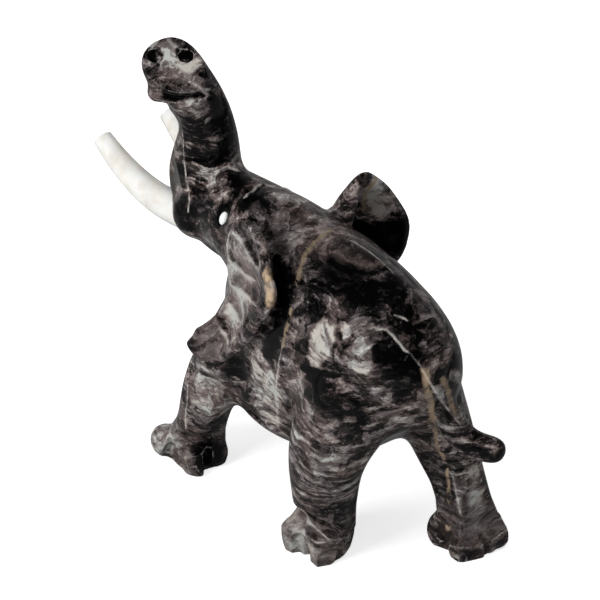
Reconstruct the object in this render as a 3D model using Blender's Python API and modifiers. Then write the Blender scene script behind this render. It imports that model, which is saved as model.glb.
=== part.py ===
"""Polished marble elephant, walking with its trunk raised, with inlaid tusks and eyes.

The stone is one body: lofted forms blended into a skin, pared flat in places, scored with
grooves, and cut level under its four feet. The tusks and eyes are pieces of their own.
A place is (forward, left, up) in steps, where the figure stands about 150 steps high.
"""

import math

import bmesh
import bpy
import numpy as np
from mathutils import Matrix, Vector
from mathutils.bvhtree import BVHTree
from mathutils.kdtree import KDTree

# Driving dimensions, in metres
HEIGHT = 0.150
STEP = HEIGHT / 150

# Tusks, each a separate rod of white onyx in a socket in the cheek
TUSK_ROOT_RADIUS = 0.0070
TUSK_TIP_RADIUS = 0.0037
TUSK_CLEARANCE = 0.0003

# Eyes, each a separate oval inlay in a shallow recess
EYE_LENGTH = 0.0050
EYE_WIDTH = 0.0036
EYE_THICKNESS = 0.0024
EYE_PROUD = 0.0008
EYE_CLEARANCE = 0.0003

# Ears
EAR_THICKNESS = 0.0040
EAR_RIDGE = 0.0007
EAR_RIDGES = 5

# Nostrils in the end of the trunk
NOSTRIL_LENGTH = 0.0048
NOSTRIL_WIDTH = 0.0038
NOSTRIL_DEPTH = 0.0024

# How finely the stone is worked, in steps, and how many triangles are left
ROUGH_GRAIN = 1.5
ROUGH_PASSES = 30
FINE_GRAIN = 0.9
FINE_PASSES = 5
STONE_TRIANGLES = 7500

# Share of a flat's reach over which it runs out into the skin
FLAT_FADE = 0.25

# Sides of each ring, tusk and oval, and rows of faces across each ridge of an ear
RING_SIDES = 12
RING_FULLNESS = 3 / (2 + math.cos(2 * math.pi / RING_SIDES))
TUSK_SIDES = 16
TOE_SIDES = 24
OVAL_SIDES = 16
ROWS_PER_RIDGE = 8

# Edges sharper than this stay crisp when the surface is shaded smooth
CREASE = math.radians(30)

# Forms, as rings: forward, left, up, half width, half depth
TORSO = [
    (-31.5, -0.4, 67, 7.5, 8),
    (-28.2, -0.5, 69, 13.4, 14.8),
    (-22.5, -0.7, 71.3, 19.2, 21.8),
    (-13, -1.1, 73.5, 24.6, 27.3),
    (0, -1.2, 72.2, 27.6, 34.4),
    (15, -1.2, 68, 29, 41.6),
    (32, -1, 67, 28.8, 43.4),
    (46, -0.6, 70, 26, 40.6),
    (57, 0, 74, 20.4, 34.2),
    (65, 0, 77, 14.6, 26),
    (70.5, 0, 81, 8.6, 16),
]
HEAD = [
    (34, -0.5, 87.5, 22, 21),
    (49, -0.6, 90, 20.8, 20.6),
    (62, -0.3, 91.3, 18.6, 18.1),
    (75, 0, 93.2, 16.4, 14.4),
    (85, 0, 94, 14, 13.5),
    (93, 0, 94, 11, 11),
]
TRUNK = [
    (80, 0, 94, 12, 12),
    (90, 0, 93, 14, 14),
    (99.6, 0.2, 94.5, 14.8, 15.4),
    (98.6, -0.7, 103, 13.2, 14),
    (97, -1.1, 112, 11.5, 12.3),
    (97, -1.3, 120, 9.9, 10.8),
    (98.8, 0.2, 128, 9.8, 10.1),
    (103.4, 4, 135, 10.9, 11),
    (107.4, 6.8, 142, 11.1, 11.2),
    (110.6, 8.4, 147, 9.6, 10),
    (112.3, 9.5, 150.7, 6.8, 6.8),
]
JAW = [
    (63, 0, 82.5, 11, 7.2),
    (75, 0, 80.4, 10, 6.6),
    (86, 0, 77.5, 9.5, 6),
    (94, 0, 77, 7.5, 4.6),
    (99, 0, 78, 5, 3.4),
    (101.5, 0, 79, 3, 2),
]
BRISKET = [
    (6, 0, 48, 12, 12),
    (18, 0.5, 43.5, 23, 18.5),
    (34, 0.5, 41.8, 26.3, 20.5),
    (48, 0.5, 42.5, 25.5, 20.5),
    (57, 0, 47.5, 19, 18.5),
    (63, 0, 53, 10, 13),
]
LEFT_FORELEG = [
    (46, 12, 82, 11, 12.5),
    (51.5, 17.2, 62, 13, 12),
    (58.8, 22, 46, 12, 12.6),
    (64, 25.4, 32, 10, 10.8),
    (65.8, 26.6, 20, 9.2, 9.4),
    (67.6, 27, 13, 9.4, 9.6),
    (69.5, 27.5, 8, 11.8, 12.4),
    (69.5, 27.5, 2, 11, 11.6),
    (69.5, 27.5, -4, 8.8, 9.4),
]
RIGHT_FORELEG = [
    (48, -12, 82, 11, 15),
    (51, -17, 62, 13, 15),
    (51, -20.5, 46, 12, 13),
    (49.5, -23, 32, 10, 10.8),
    (48, -24.5, 20, 9.2, 9.4),
    (49, -25, 13, 9.4, 9.6),
    (51.5, -25.5, 8, 11.8, 12.4),
    (51.5, -25.5, 2, 11, 11.6),
    (51.5, -25.5, -4, 8.8, 9.4),
]
LEFT_HINDLEG = [
    (-9, 11, 80, 13, 17),
    (-6.4, 16.6, 66, 14.5, 19),
    (-3.7, 22, 52, 13.2, 16.2),
    (-1.8, 24, 38, 12.6, 14.2),
    (-1.9, 22.9, 24, 11, 11.6),
    (-0.9, 23.2, 14, 11.4, 11.6),
    (-0.6, 23.2, 9, 13, 13),
    (-0.4, 23.4, 3, 10.8, 10.8),
    (-0.4, 23.4, -4, 8.6, 8.6),
]
RIGHT_HINDLEG = [
    (-8, -9, 80, 11, 14),
    (-9, -12.5, 66, 12, 16),
    (-13, -15.5, 52, 11.6, 14),
    (-18, -17.5, 38, 11.4, 12.2),
    (-24.5, -20, 24, 9, 9.8),
    (-28, -19.3, 14, 10.4, 10.2),
    (-30.2, -20.2, 8, 12, 12.4),
    (-30.2, -20.2, 2, 11.4, 11.8),
    (-30.2, -20.2, -4, 9.4, 9.6),
]
TAIL = [
    (-21.5, 0.6, 92, 2.5, 2.5),
    (-26.1, -0.8, 84, 3.4, 3.4),
    (-27.9, -3, 73.7, 4.4, 4.4),
    (-30.1, -6.7, 63.9, 5.2, 5.2),
    (-32.7, -10, 55.6, 5.4, 5.4),
    (-37.6, -13, 51.9, 5, 5),
    (-43.6, -15.6, 52.8, 5, 5),
    (-48.8, -17, 54, 3.8, 3.8),
]

# Toes and heels, as ovals: forward, left, up, half length, half width, half height
FEET = [
    (77.8, 35.2, 5.4, 6.4, 5.8, 6.6),
    (80, 21.5, 4, 5.6, 5.4, 5.6),
    (62.8, 32.6, 4, 6.5, 5.6, 6.8),
    (62, 24, 4.2, 4.8, 4.8, 6.4),
    (5.6, 30.6, 6, 6, 5.8, 8),
    (-5.4, 27.6, 3.8, 5.8, 5.6, 6.6),
    (-4.2, 19.4, 4, 4.8, 4.8, 6.4),
    (5.4, 18.4, 4, 5.4, 5.4, 6.4),
    (59, -31, 4, 5.8, 5.4, 6.4),
    (59.5, -20, 4, 5.8, 5.4, 6.4),
    (45, -31.5, 4, 5.4, 5, 6.4),
    (45, -20, 4, 5.4, 5, 6.4),
    (-23.6, -13.4, 5, 6, 6, 7.8),
    (-34, -13.8, 4, 5.8, 5.8, 6.4),
    (-35.6, -27.4, 4.6, 5.6, 5.6, 7.2),
    (-25, -26.4, 4, 5.4, 5.4, 6.4),
]

# Cheeks over the roots of the tusks, as ovals
CHEEKS = [
    (91, 9.2, 89, 10, 9.3, 10),
    (91, -9.2, 89, 10, 9.3, 10),
]

# Lower lip of the trunk's end, as an oval
LIP = [
    (107, 12.4, 133.4, 5, 4.6, 4),
]

# Ears, as lines of places from the top down: where each leaves the head, and its free edge
LEFT_EAR_ROOT = [
    (58, 15, 106),
    (60, 15, 104),
    (61, 17.5, 97),
    (60.5, 18, 91),
    (59, 18.5, 86),
    (57.5, 19, 82),
    (54.4, 23.4, 77.2),
    (54.3, 30, 72.5),
    (57.5, 36, 67.6),
]
LEFT_EAR_EDGE = [
    (48, 18, 111.5),
    (37.5, 21, 112),
    (28, 24.5, 106),
    (21.5, 27, 98),
    (24, 31, 87),
    (33, 32, 73),
    (43.5, 33, 60.5),
    (50.5, 37.5, 59),
    (58.5, 40, 64),
]
RIGHT_EAR_ROOT = [
    (40.5, -9, 94),
    (44, -12, 94),
    (50, -16, 93.5),
    (57, -17.5, 91),
    (59, -18.5, 86),
    (58, -19, 81),
    (56, -24, 76),
    (55, -30, 71),
    (56, -35, 66),
]
RIGHT_EAR_EDGE = [
    (33.5, -17.5, 102.5),
    (40.3, -26.5, 116.5),
    (39.7, -34.5, 112.5),
    (37.7, -38.8, 106.4),
    (33.5, -43, 96),
    (33, -42.8, 85),
    (41, -41.5, 71),
    (50.5, -38, 62),
    (55.5, -37, 61),
]
EAR_COLUMNS = 6
EAR_HOLLOW = 2.2

# Tusks: the middle line from inside the cheek to the cut end
TUSK_LINE = [
    (89, 7.5, 87),
    (100, 10, 85.8),
    (111, 12.6, 86),
    (124, 14, 89.4),
    (134, 14.8, 93.6),
    (142, 15, 98.4),
]

# Nostrils and the face they are cut in, at the end of the trunk
TRUNK_FACE = (105.5, 8.5, 143.5)
TRUNK_FACE_TOWARDS = (-0.42, 0.34, 0.84)
NOSTRILS = [(111.5, 10.6, 145.8), (104.8, 2.2, 145.5)]

NOSTRIL_ALONG = (0.7, 0, 0.7)

# Eyes
EYE_PLACE = (68.5, 18, 103.5)
EYE_ALONG = (0.3, 0, 1)

# Flats pared off the skin: place, way it faces, reach
FLATS = [
    (TRUNK_FACE, TRUNK_FACE_TOWARDS, 24),
    ((102.5, 11, 112), (0.27, 0.96, 0), 20),
    ((92, 7.8, 122), (-0.7, 0.71, 0), 12),
    ((63.6, 35, 30), (0.12, 0.97, 0.2), 20),
    ((59.2, 33.5, 30), (-0.5, 0.87, 0.02), 20),
    ((-27.5, -11.9, 24), (-0.35, 0.94, 0), 20),
    ((-33.3, -18.7, 24), (-0.98, 0.15, 0), 20),
    ((8, 34, 5), (0.3, 0.95, 0), 10),
    ((2.5, 33.8, 4), (-0.25, 0.97, -0.1), 9),
    ((6, 31.5, 11.4), (0.3, 0.55, 0.78), 9),
    ((-4.5, 31.4, 3), (0.05, 1, -0.05), 9),
    ((-9.5, 28, 3), (-0.92, 0.39, -0.05), 9),
    ((-2, 30.3, 13), (-0.43, 0.74, 0.51), 13),
    ((-9, 17, 4), (-0.9, -0.4, 0.1), 8),
    ((66, 37.2, 4), (0.1, 1, 0), 8),
    ((56.6, 33.6, 5), (-0.79, 0.61, 0.05), 10),
    ((63, 33.2, 9.6), (-0.4, 0.5, 0.77), 10),
    ((57.5, 25, 8), (-0.95, 0.3, 0.1), 11),
    ((-40.6, -25, 4), (-0.98, 0.1, 0.1), 10),
    ((-37, -30.6, 4), (-0.2, -0.97, 0.1), 8),
    ((-39, -16, 4), (-0.93, 0.35, 0.1), 9),
    ((-32, -9, 4), (-0.1, 1, 0.05), 9),
    ((-36, -13, 10), (-0.6, 0.4, 0.7), 9),
    ((-25, -8.4, 5), (0.1, 1, 0), 8),
]

# Grooves cut along lines of places: half width, depth, places
GROOVES = [
    (1.5, 2.4, [(105, 16, 134.6), (101, 14, 134.8), (97, 10, 134.8), (94.6, 6, 135), (93.6, 2.6, 134.4)]),
    (1.3, 1.2, [(83, 12, 102), (86, 7, 107), (88, 0, 109), (86, -7, 107)]),
    (2.0, 3.4, [(73, 40, 0), (73, 38, 4), (72, 36, 9)]),
    (1.8, 3.0, [(84, 28, 0), (83, 28, 4), (80.5, 27.5, 9)]),
    (2.0, 3.4, [(58, 30, 0), (58, 30, 4), (59.5, 29.5, 9)]),
    (2.0, 3.6, [(-1.2, 37, 0), (-1.2, 36.5, 4), (-1, 34.5, 10)]),
    (2.0, 3.6, [(-14, 23, 0), (-13.5, 23, 4), (-12, 23, 10)]),
    (1.8, 3.0, [(13, 24, 0), (13, 24, 4), (11, 24, 10)]),
    (1.8, 3.0, [(65, -25.5, 0), (65, -25.5, 4), (61, -25.5, 9)]),
    (1.8, 3.0, [(52, -39, 0), (52, -38, 4), (52, -36, 9)]),
    (1.8, 3.0, [(-29.5, -8, 0), (-29.5, -8.5, 4), (-29.5, -10, 9)]),
    (2.0, 3.4, [(-43, -20.3, 0), (-42.5, -20.3, 4), (-40, -20.3, 9)]),
    (1.8, 3.0, [(-30.5, -33, 0), (-30.5, -32.5, 4), (-30, -31, 9)]),
    (1.8, 3.0, [(-17.5, -20.5, 0), (-17.5, -20.5, 4), (-20, -20.5, 9)]),
]

COLOURS = {
    "stone": (0.060, 0.056, 0.056),
    "onyx": (0.78, 0.74, 0.66),
    "shell": (0.86, 0.86, 0.83),
}


def place(forward, left, up):
    """A point of the figure, in metres: it faces -Y with its left side at +X."""
    return Vector((left, -forward, up)) * STEP


def direction(forward, left, up):
    return Vector((left, -forward, up)).normalized()


def clear_scene():
    for obj in list(bpy.data.objects):
        bpy.data.objects.remove(obj)


def new_object(name, bm, collection):
    mesh = bpy.data.meshes.new(name)
    bm.to_mesh(mesh)
    bm.free()
    obj = bpy.data.objects.new(name, mesh)
    collection.objects.link(obj)
    return obj


def bake(obj):
    """Puts the result of an object's modifiers into its mesh."""
    graph = bpy.context.evaluated_depsgraph_get()
    mesh = bpy.data.meshes.new_from_object(obj.evaluated_get(graph))
    obj.modifiers.clear()
    old = obj.data
    obj.data = mesh
    bpy.data.meshes.remove(old)
    return obj


def tangent(points, i):
    before = points[max(i - 1, 0)]
    after = points[min(i + 1, len(points) - 1)]
    return (after - before).normalized()


def turned(side, across, along, at):
    return Matrix.Translation(at) @ Matrix((side, across, along)).transposed().to_4x4()


def loft(bm, rings):
    """Adds a closed form through elliptical rings, each square to the line they follow."""
    points = [place(*ring[:3]) for ring in rings]
    loops = []
    for i, ring in enumerate(rings):
        along = tangent(points, i)
        side = Vector((1, 0, 0))
        side = (side - along * side.dot(along)).normalized()
        across = along.cross(side)
        half_width = ring[3] * STEP * RING_FULLNESS
        half_depth = ring[4] * STEP * RING_FULLNESS
        where = turned(side * half_width, across * half_depth, along, points[i])
        made = bmesh.ops.create_circle(bm, segments=RING_SIDES, radius=1, matrix=where)
        loops.append(list({edge for vert in made["verts"] for edge in vert.link_edges}))
    for first, second in zip(loops, loops[1:]):
        bmesh.ops.bridge_loops(bm, edges=first + second)
    for end in (loops[0], loops[-1]):
        bmesh.ops.contextual_create(bm, geom=end)


def lofted(name, forms, collection):
    """One object that holds several overlapping lofts, rounded by subdivision."""
    bm = bmesh.new()
    for rings in forms:
        loft(bm, rings)
    bmesh.ops.recalc_face_normals(bm, faces=bm.faces)
    obj = new_object(name, bm, collection)
    rounding = obj.modifiers.new("Rounding", "SUBSURF")
    rounding.levels = rounding.render_levels = 2
    return bake(obj)


def ovals(name, table, collection):
    """One object that holds a round form for each row of a table."""
    bm = bmesh.new()
    for forward, left, up, length, width, height in table:
        size = Matrix.Diagonal((width * STEP, length * STEP, height * STEP, 1))
        where = Matrix.Translation(place(forward, left, up)) @ size
        bmesh.ops.create_uvsphere(
            bm, u_segments=TOE_SIDES, v_segments=TOE_SIDES // 2, radius=1, matrix=where
        )
    return new_object(name, bm, collection)


def on_curve(start, leaving, arriving, end, share):
    """The place a share of the way along a curve that leaves and arrives as given."""
    where = start.lerp(end, share * share * (3 - 2 * share))
    where += leaving * (share * (1 - share) ** 2)
    return where - arriving * (share * share * (1 - share))


def along_line(points, share):
    """The place a share of the way along a smooth line of places, counted by its corners."""
    at = share * (len(points) - 1)
    i = min(int(at), len(points) - 2)
    start, end = points[i], points[i + 1]
    leaving = (end - points[max(i - 1, 0)]) / 2
    arriving = (points[min(i + 2, len(points) - 1)] - start) / 2
    return on_curve(start, leaving, arriving, end, at - i)


def ear(name, root, edge, collection):
    """A hollowed sheet from the root to the free edge, with ridges fanning across it."""
    root = [place(*point) for point in root]
    edge = [place(*point) for point in edge]
    rows = ROWS_PER_RIDGE * EAR_RIDGES
    bm = bmesh.new()
    bmesh.ops.create_grid(bm, x_segments=EAR_COLUMNS, y_segments=rows, size=0.5)
    middle = (root[0] + root[-1] + edge[2] + edge[-3]) / 4
    face = (edge[-3] - root[0]).cross(edge[2] - root[-1]).normalized()
    face = face if face.dot(middle - place(60, 0, 90)) > 0 else -face
    for vert in bm.verts:
        across, down = vert.co.x + 0.5, vert.co.y + 0.5
        point = along_line(root, down).lerp(along_line(edge, down), across)
        hollow = EAR_HOLLOW * STEP * math.sin(math.pi * across)
        ridge = EAR_RIDGE * (2 * abs(2 * ((down * EAR_RIDGES) % 1) - 1) - 1)
        vert.co = point - face * (hollow + ridge * math.sin(math.pi * min(across, 0.5)))
    obj = new_object(name, bm, collection)
    thick = obj.modifiers.new("Thickness", "SOLIDIFY")
    thick.thickness = EAR_THICKNESS
    thick.offset = 0
    rounding = obj.modifiers.new("Rounding", "SUBSURF")
    rounding.levels = rounding.render_levels = 1
    return bake(obj)


def join(target, others):
    """Moves the meshes of other objects into the target."""
    bm = bmesh.new()
    for obj in [target, *others]:
        bm.from_mesh(obj.data)
    bm.to_mesh(target.data)
    bm.free()
    for obj in others:
        bpy.data.objects.remove(obj)
    return target


def fuse(obj, grain, passes):
    """Fuses the overlapping forms of an object into one skin and softens where they meet."""
    skin = obj.modifiers.new("Skin", "REMESH")
    skin.mode = "VOXEL"
    skin.voxel_size = grain * STEP
    soften = obj.modifiers.new("Soften", "SMOOTH")
    soften.factor = 0.5
    soften.iterations = passes
    return bake(obj)


def corners(obj):
    """The mesh's corners as an array, with their normals."""
    count = len(obj.data.vertices)
    points = np.empty(count * 3)
    normals = np.empty(count * 3)
    obj.data.vertices.foreach_get("co", points)
    obj.data.vertices.foreach_get("normal", normals)
    return points.reshape(-1, 3), normals.reshape(-1, 3)


def put_back(obj, points):
    obj.data.vertices.foreach_set("co", points.ravel())
    obj.data.update()


def pare(obj, flats):
    """Presses what stands above each flat down onto it, fading out near the end of its reach."""
    points, _ = corners(obj)
    for where, towards, reach in flats:
        middle = np.array(place(*where))
        facing = np.array(direction(*towards))
        above = (points - middle) @ facing
        away = np.linalg.norm(points - middle, axis=1) / (reach * STEP)
        share = np.clip((1 - away) / FLAT_FADE, 0, 1) * (above > 0)
        points -= np.outer(above * share, facing)
    put_back(obj, points)


def dense_line(places, spacing):
    line = [place(*point) for point in places]
    dense = []
    for first, second in zip(line, line[1:]):
        count = max(1, math.ceil((second - first).length / spacing))
        dense += [first.lerp(second, i / count) for i in range(count)]
    return dense + [line[-1]]


def score(obj, grooves):
    """Cuts V grooves into the skin along lines of places that lie near it."""
    points, normals = corners(obj)
    surface = BVHTree.FromObject(obj, bpy.context.evaluated_depsgraph_get())
    for half_width, depth, places in grooves:
        line = [surface.find_nearest(point)[0] for point in dense_line(places, 0.5 * STEP)]
        tree = KDTree(len(line))
        for i, point in enumerate(line):
            tree.insert(point, i)
        tree.balance()
        middle = np.array(line).mean(axis=0)
        reach = max(np.linalg.norm(np.array(point) - middle) for point in line) + 3 * STEP
        for i in np.nonzero(np.linalg.norm(points - middle, axis=1) < reach)[0]:
            away = tree.find(points[i])[2] / (half_width * STEP)
            if away < 1:
                points[i] -= normals[i] * depth * STEP * (1 - away)
    put_back(obj, points)


def boolean(obj, other, operation):
    cut = obj.modifiers.new("Cut", "BOOLEAN")
    cut.operation = operation
    cut.solver = "EXACT"
    cut.object = other
    return bake(obj)


def box(name, size, middle, collection):
    bm = bmesh.new()
    where = Matrix.Translation(middle) @ Matrix.Diagonal((*size, 1))
    bmesh.ops.create_cube(bm, size=1, matrix=where)
    return new_object(name, bm, collection)


def oval(name, where, facing, along, length, width, thickness, collection):
    """A smooth oval form at a place, its thickness the way it faces and its length along."""
    side = facing.cross(along).normalized()
    lengthwise = side.cross(facing).normalized()
    turn = turned(side * width / 2, lengthwise * length / 2, facing * thickness / 2, where)
    bm = bmesh.new()
    bmesh.ops.create_uvsphere(
        bm, u_segments=OVAL_SIDES, v_segments=OVAL_SIDES // 2, radius=1, matrix=turn
    )
    bmesh.ops.recalc_face_normals(bm, faces=bm.faces)
    return new_object(name, bm, collection)


def tusk(name, side, clearance, longer, collection):
    """A tapering rod along the tusk's line, made wider for its socket by the clearance."""
    line = [place(forward, left * side, up) for forward, left, up in TUSK_LINE]
    if longer:
        line[0] = line[0] - (line[1] - line[0]).normalized() * longer
    curve = bpy.data.curves.new(name, "CURVE")
    curve.dimensions = "3D"
    curve.bevel_depth = 1
    curve.bevel_resolution = TUSK_SIDES // 2 - 2
    curve.use_fill_caps = True
    curve.resolution_u = 3
    spline = curve.splines.new("NURBS")
    spline.points.add(len(line) - 1)
    spline.order_u = 4
    spline.use_endpoint_u = True
    for i, point in enumerate(line):
        share = i / (len(line) - 1)
        spline.points[i].co = (*point, 1)
        radius = TUSK_ROOT_RADIUS + share * (TUSK_TIP_RADIUS - TUSK_ROOT_RADIUS)
        spline.points[i].radius = radius + clearance
    source = bpy.data.objects.new(name, curve)
    collection.objects.link(source)
    graph = bpy.context.evaluated_depsgraph_get()
    mesh = bpy.data.meshes.new_from_object(source.evaluated_get(graph))
    bpy.data.objects.remove(source)
    bm = bmesh.new()
    bm.from_mesh(mesh)
    bpy.data.meshes.remove(mesh)
    bmesh.ops.remove_doubles(bm, verts=bm.verts, dist=STEP / 1000)
    bmesh.ops.recalc_face_normals(bm, faces=bm.faces)
    return new_object(name, bm, collection)


def stone_body(collection):
    forms = [TORSO, BRISKET, HEAD, TRUNK, JAW]
    legs = [LEFT_FORELEG, RIGHT_FORELEG, LEFT_HINDLEG, RIGHT_HINDLEG]
    body = lofted("elephant", forms + legs, collection)
    body = fuse(join(body, [ovals("cheeks", CHEEKS, collection)]), ROUGH_GRAIN, ROUGH_PASSES)
    tail = lofted("tail", [TAIL], collection)
    left_ear = ear("left_ear", LEFT_EAR_ROOT, LEFT_EAR_EDGE, collection)
    right_ear = ear("right_ear", RIGHT_EAR_ROOT, RIGHT_EAR_EDGE, collection)
    toes = ovals("toes", FEET + LIP, collection)
    body = fuse(join(body, [tail, left_ear, right_ear, toes]), FINE_GRAIN, FINE_PASSES)
    pare(body, FLATS)
    score(body, GROOVES)
    return body


def lighten(obj, triangles):
    """Leaves about as many triangles as asked for, with the flats kept whole."""
    fewer = obj.modifiers.new("Fewer", "DECIMATE")
    count = sum(len(face.vertices) - 2 for face in obj.data.polygons)
    fewer.ratio = min(1.0, triangles / count)
    return bake(obj)


def eye(name, body, side, clearance, collection):
    """An oval seated in the skin of the head, made larger for its recess by the clearance."""
    forward, left, up = EYE_PLACE
    surface = BVHTree.FromObject(body, bpy.context.evaluated_depsgraph_get())
    where, facing, _, _ = surface.find_nearest(place(forward, left * side, up))
    middle = where + facing * (EYE_PROUD - EYE_THICKNESS / 2)
    sizes = [size + 2 * clearance for size in (EYE_LENGTH, EYE_WIDTH, EYE_THICKNESS)]
    return oval(name, middle, facing, direction(*EYE_ALONG), *sizes, collection)


def nostril(name, where, collection):
    facing, along = direction(*TRUNK_FACE_TOWARDS), direction(*NOSTRIL_ALONG)
    sizes = (NOSTRIL_LENGTH, NOSTRIL_WIDTH, 2 * NOSTRIL_DEPTH)
    return oval(name, place(*where), facing, along, *sizes, collection)


def stand_level(objects, tools):
    """Moves everything so that the middle of the bottom of the figure's box is the origin."""
    points = np.concatenate([corners(obj)[0] for obj in objects])
    low, high = points.min(axis=0), points.max(axis=0)
    shift = np.array(((low[0] + high[0]) / 2, (low[1] + high[1]) / 2, low[2]))
    for obj in objects + tools:
        put_back(obj, corners(obj)[0] - shift)


def material(name):
    made = bpy.data.materials.new(name)
    made.use_nodes = True
    shader = made.node_tree.nodes["Principled BSDF"]
    shader.inputs["Base Color"].default_value = (*COLOURS[name], 1)
    shader.inputs["Roughness"].default_value = 0.2
    shader.inputs["Metallic"].default_value = 0
    return made


def main():
    clear_scene()
    figure = bpy.data.collections.new("marble_elephant")
    cutters = bpy.data.collections.new("cutters")
    for collection in (figure, cutters):
        bpy.context.scene.collection.children.link(collection)
    body = stone_body(figure)
    lighten(body, STONE_TRIANGLES)
    pieces = {"elephant": "stone"}
    tools = [box("ground", (1, 1, 0.1), Vector((0, 0, -0.05)), cutters)]
    for i, where in enumerate(NOSTRILS):
        tools.append(nostril(f"nostril_{i + 1}", where, cutters))
    for side, sign in (("left", 1), ("right", -1)):
        tusk(f"{side}_tusk", sign, 0, 0, figure)
        eye(f"{side}_eye", body, sign, 0, figure)
        tools.append(tusk(f"{side}_socket", sign, TUSK_CLEARANCE, TUSK_CLEARANCE, cutters))
        tools.append(eye(f"{side}_recess", body, sign, EYE_CLEARANCE, cutters))
        pieces[f"{side}_tusk"] = "onyx"
        pieces[f"{side}_eye"] = "shell"
    for tool in tools:
        boolean(body, tool, "DIFFERENCE")
        tool.hide_render = True
        tool.display_type = "WIRE"
    objects = [figure.objects[name] for name in pieces]
    stand_level(objects, tools)
    materials = {name: material(name) for name in COLOURS}
    for name, made_of in pieces.items():
        mesh = figure.objects[name].data
        mesh.materials.clear()
        mesh.materials.append(materials[made_of])
        mesh.shade_smooth()
        mesh.set_sharp_from_angle(angle=CREASE)


main()
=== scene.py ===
import math

import bpy
import numpy as np
from mathutils import Matrix, Vector


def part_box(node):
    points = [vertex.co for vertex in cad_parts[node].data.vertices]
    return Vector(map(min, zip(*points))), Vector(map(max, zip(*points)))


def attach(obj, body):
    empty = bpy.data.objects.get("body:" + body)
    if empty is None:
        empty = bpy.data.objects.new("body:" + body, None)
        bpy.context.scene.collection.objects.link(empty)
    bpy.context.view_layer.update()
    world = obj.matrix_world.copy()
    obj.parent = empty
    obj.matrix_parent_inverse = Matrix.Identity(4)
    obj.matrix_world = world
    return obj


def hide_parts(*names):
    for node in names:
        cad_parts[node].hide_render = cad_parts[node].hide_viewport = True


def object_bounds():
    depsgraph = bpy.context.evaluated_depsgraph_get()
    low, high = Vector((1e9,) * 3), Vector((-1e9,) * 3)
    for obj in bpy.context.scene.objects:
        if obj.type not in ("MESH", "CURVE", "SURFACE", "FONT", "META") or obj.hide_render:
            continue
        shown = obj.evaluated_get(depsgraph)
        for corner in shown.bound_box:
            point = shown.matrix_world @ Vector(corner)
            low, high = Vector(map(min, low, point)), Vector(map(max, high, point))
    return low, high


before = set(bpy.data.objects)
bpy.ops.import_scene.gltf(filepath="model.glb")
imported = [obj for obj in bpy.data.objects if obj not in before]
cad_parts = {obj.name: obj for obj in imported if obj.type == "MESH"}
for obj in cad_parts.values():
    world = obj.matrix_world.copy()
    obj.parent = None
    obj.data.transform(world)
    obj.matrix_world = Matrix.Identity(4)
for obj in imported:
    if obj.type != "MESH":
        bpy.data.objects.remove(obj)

bl_info = {
    "name": "Marble Elephant",
    "version": (1, 0, 0),
    "blender": (4, 5, 0),
    "location": "3D View > Sidebar > Marble Elephant",
    "description": "Dresses the carved elephant: its stone, its set-in tusks and eyes, and its stage",
    "category": "Object",
}

# Lengths are in metres unless a comment says millimetres
MM = 0.001
CM_PER_METRE = 100.0
MM_PER_CM = 10
CAD_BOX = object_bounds()
TUSK_TIP_FORWARD = 0.1439

# The tables hold millimetres. A place is forward, to the figure's left and up from where its middle
# line meets the ground, and a way to face is given in the same order.

# Flats pared off the stone: place, the way it faces, reach
FLATS = [
    ((105.5, 8.5, 143.5), (-0.42, 0.34, 0.84), 24),
    ((102.5, 11, 112), (0.27, 0.96, 0), 20),
    ((92, 7.8, 122), (-0.7, 0.71, 0), 12),
    ((63.6, 35, 30), (0.12, 0.97, 0.2), 20),
    ((59.2, 33.5, 30), (-0.5, 0.87, 0.02), 20),
    ((-27.5, -11.9, 24), (-0.35, 0.94, 0), 20),
    ((-33.3, -18.7, 24), (-0.98, 0.15, 0), 20),
    ((8, 34, 5), (0.3, 0.95, 0), 10),
    ((2.5, 33.8, 4), (-0.25, 0.97, -0.1), 9),
    ((6, 31.5, 11.4), (0.3, 0.55, 0.78), 9),
    ((-4.5, 31.4, 3), (0.05, 1, -0.05), 9),
    ((-9.5, 28, 3), (-0.92, 0.39, -0.05), 9),
    ((-2, 30.3, 13), (-0.43, 0.74, 0.51), 13),
    ((-9, 17, 4), (-0.9, -0.4, 0.1), 8),
    ((66, 37.2, 4), (0.1, 1, 0), 8),
    ((56.6, 33.6, 5), (-0.79, 0.61, 0.05), 10),
    ((63, 33.2, 9.6), (-0.4, 0.5, 0.77), 10),
    ((57.5, 25, 8), (-0.95, 0.3, 0.1), 11),
    ((-40.6, -25, 4), (-0.98, 0.1, 0.1), 10),
    ((-37, -30.6, 4), (-0.2, -0.97, 0.1), 8),
    ((-39, -16, 4), (-0.93, 0.35, 0.1), 9),
    ((-32, -9, 4), (-0.1, 1, 0.05), 9),
    ((-36, -13, 10), (-0.6, 0.4, 0.7), 9),
    ((-25, -8.4, 5), (0.1, 1, 0), 8),
]

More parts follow.
